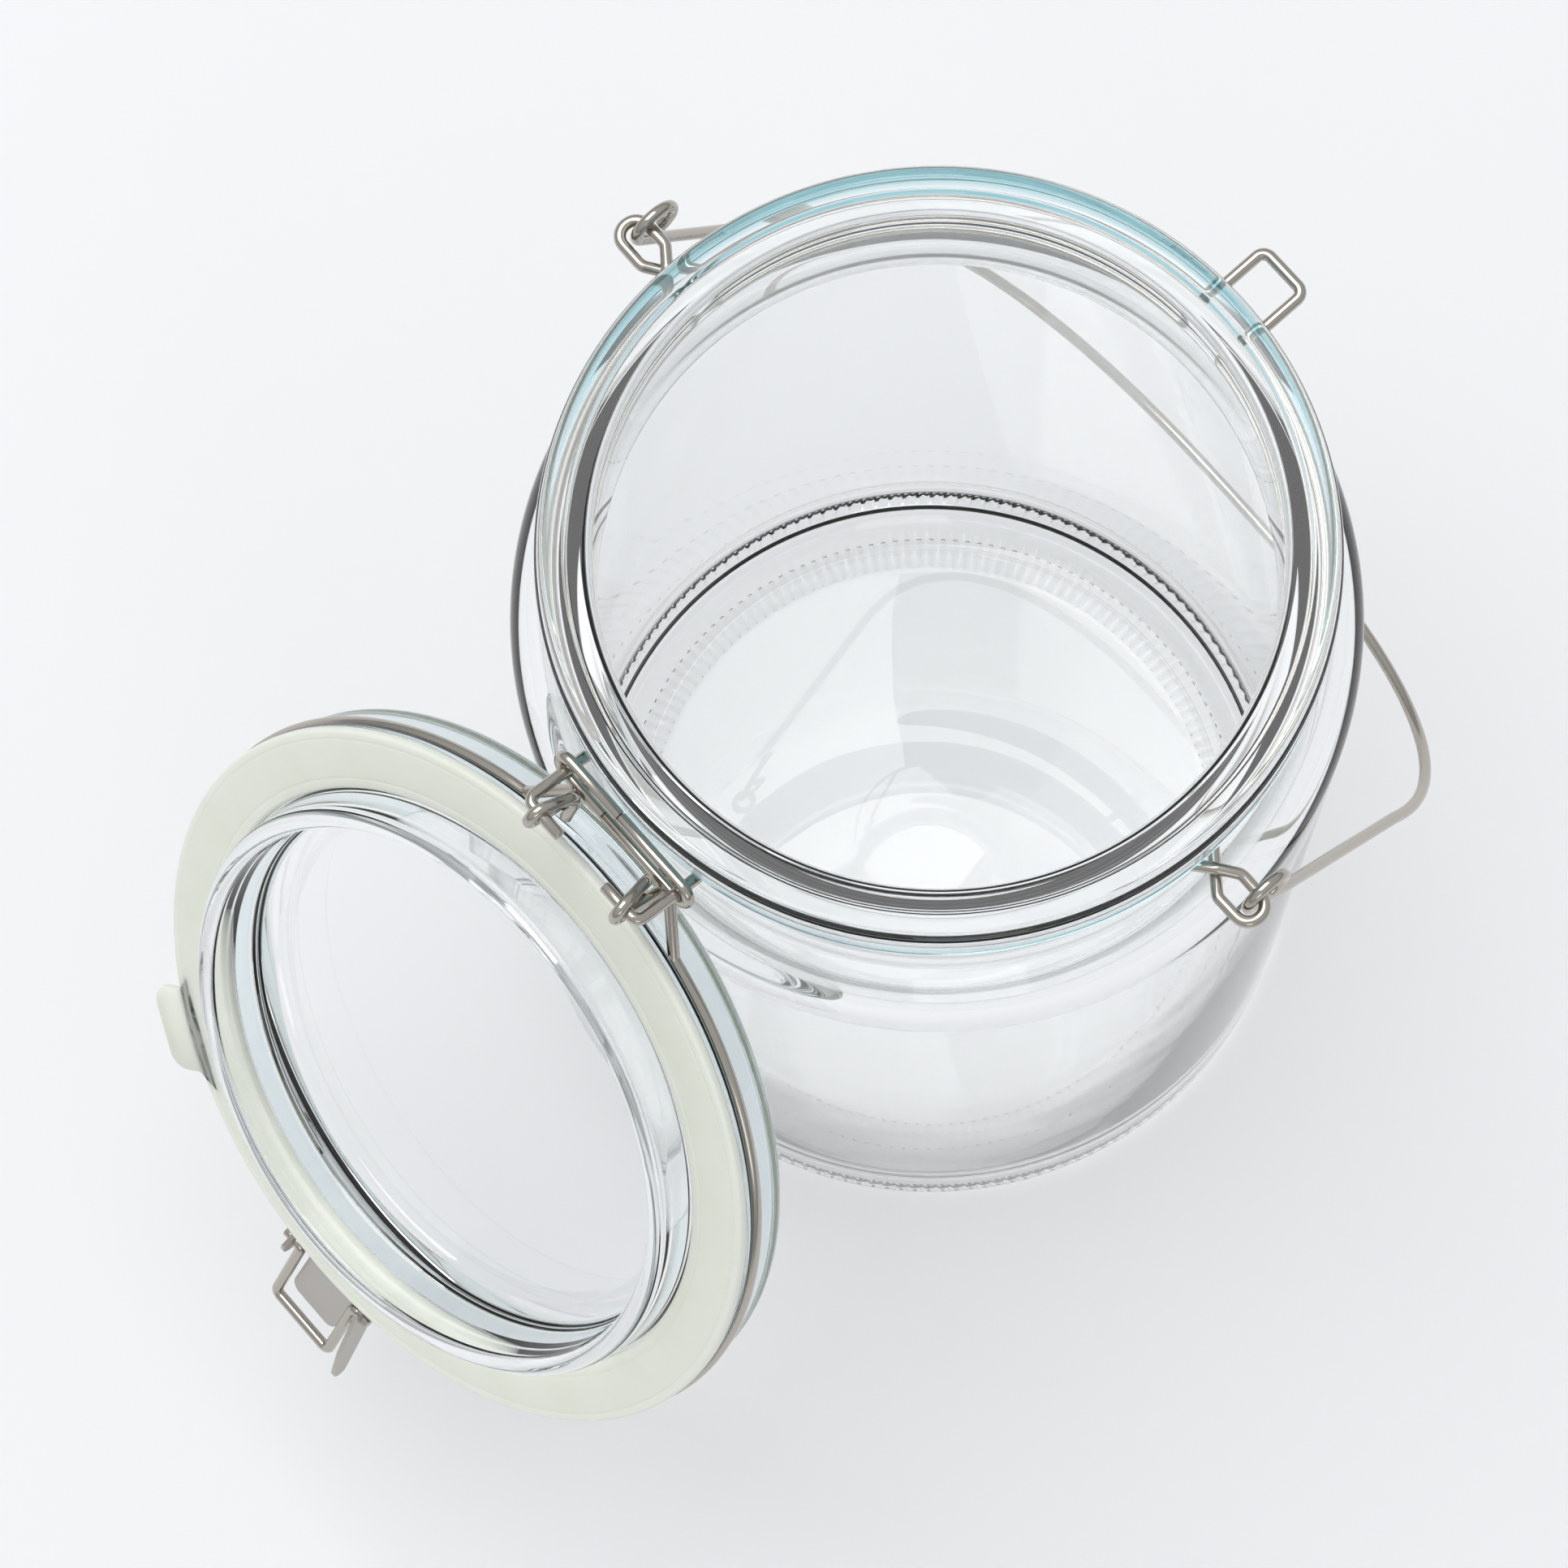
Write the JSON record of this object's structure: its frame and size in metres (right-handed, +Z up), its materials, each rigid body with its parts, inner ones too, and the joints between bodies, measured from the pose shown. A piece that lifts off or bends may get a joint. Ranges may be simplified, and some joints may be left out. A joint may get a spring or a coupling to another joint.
{
  "type": "lidded glass canister",
  "caption": "Clear glass storage canister with a wire-hinged glass lid, pale gasket, over-centre lever latch and swinging wire carrying handle, shown with the lid open.",
  "frame": {"origin": "on the jar's axis, at the surface that the jar stands on", "axes": "+Z up along the jar's axis, +Y towards the hinge, -Y towards the latch catch"},
  "size_m": [0.1448, 0.2122, 0.19],
  "materials": {
    "clear_glass": "gloss",
    "steel_wire": "satin",
    "steel_sheet": "satin",
    "silicone": "matte"
  },
  "bodies": {
    "jar": {"jar_body": "clear_glass", "neck_wire": "steel_wire", "hinge_ring": "steel_wire"},
    "lid": {"lid_glass": "clear_glass", "gasket": "silicone", "lid_wire": "steel_wire"},
    "lever": {"latch_lever": "steel_sheet"},
    "bail": {"latch_bail": "steel_wire"},
    "handle": {"carry_handle": "steel_wire"}
  },
  "joints": [
    {"name": "lid_hinge", "type": "hinge", "parent": "jar", "child": "lid", "pos_m": [0, 0.0698, 0.1834], "axis": [1, 0, 0], "range_deg": [0, 238]},
    {"name": "lever_pivot", "type": "hinge", "parent": "lid", "child": "lever", "pos_m": [0, 0.12906, 0.06195], "axis": [1, 0, 0], "range_deg": [-40, 90]},
    {"name": "bail_pivot", "type": "hinge", "parent": "lever", "child": "bail", "pos_m": [0, 0.13214, 0.05892], "axis": [1, 0, 0], "range_deg": [-100, 5.4]},
    {"name": "handle_hinge", "type": "hinge", "parent": "jar", "child": "handle", "pos_m": [0, -0.0036, 0.1787], "axis": [-1, 0, 0], "range_deg": [0, 230]}
  ]
}
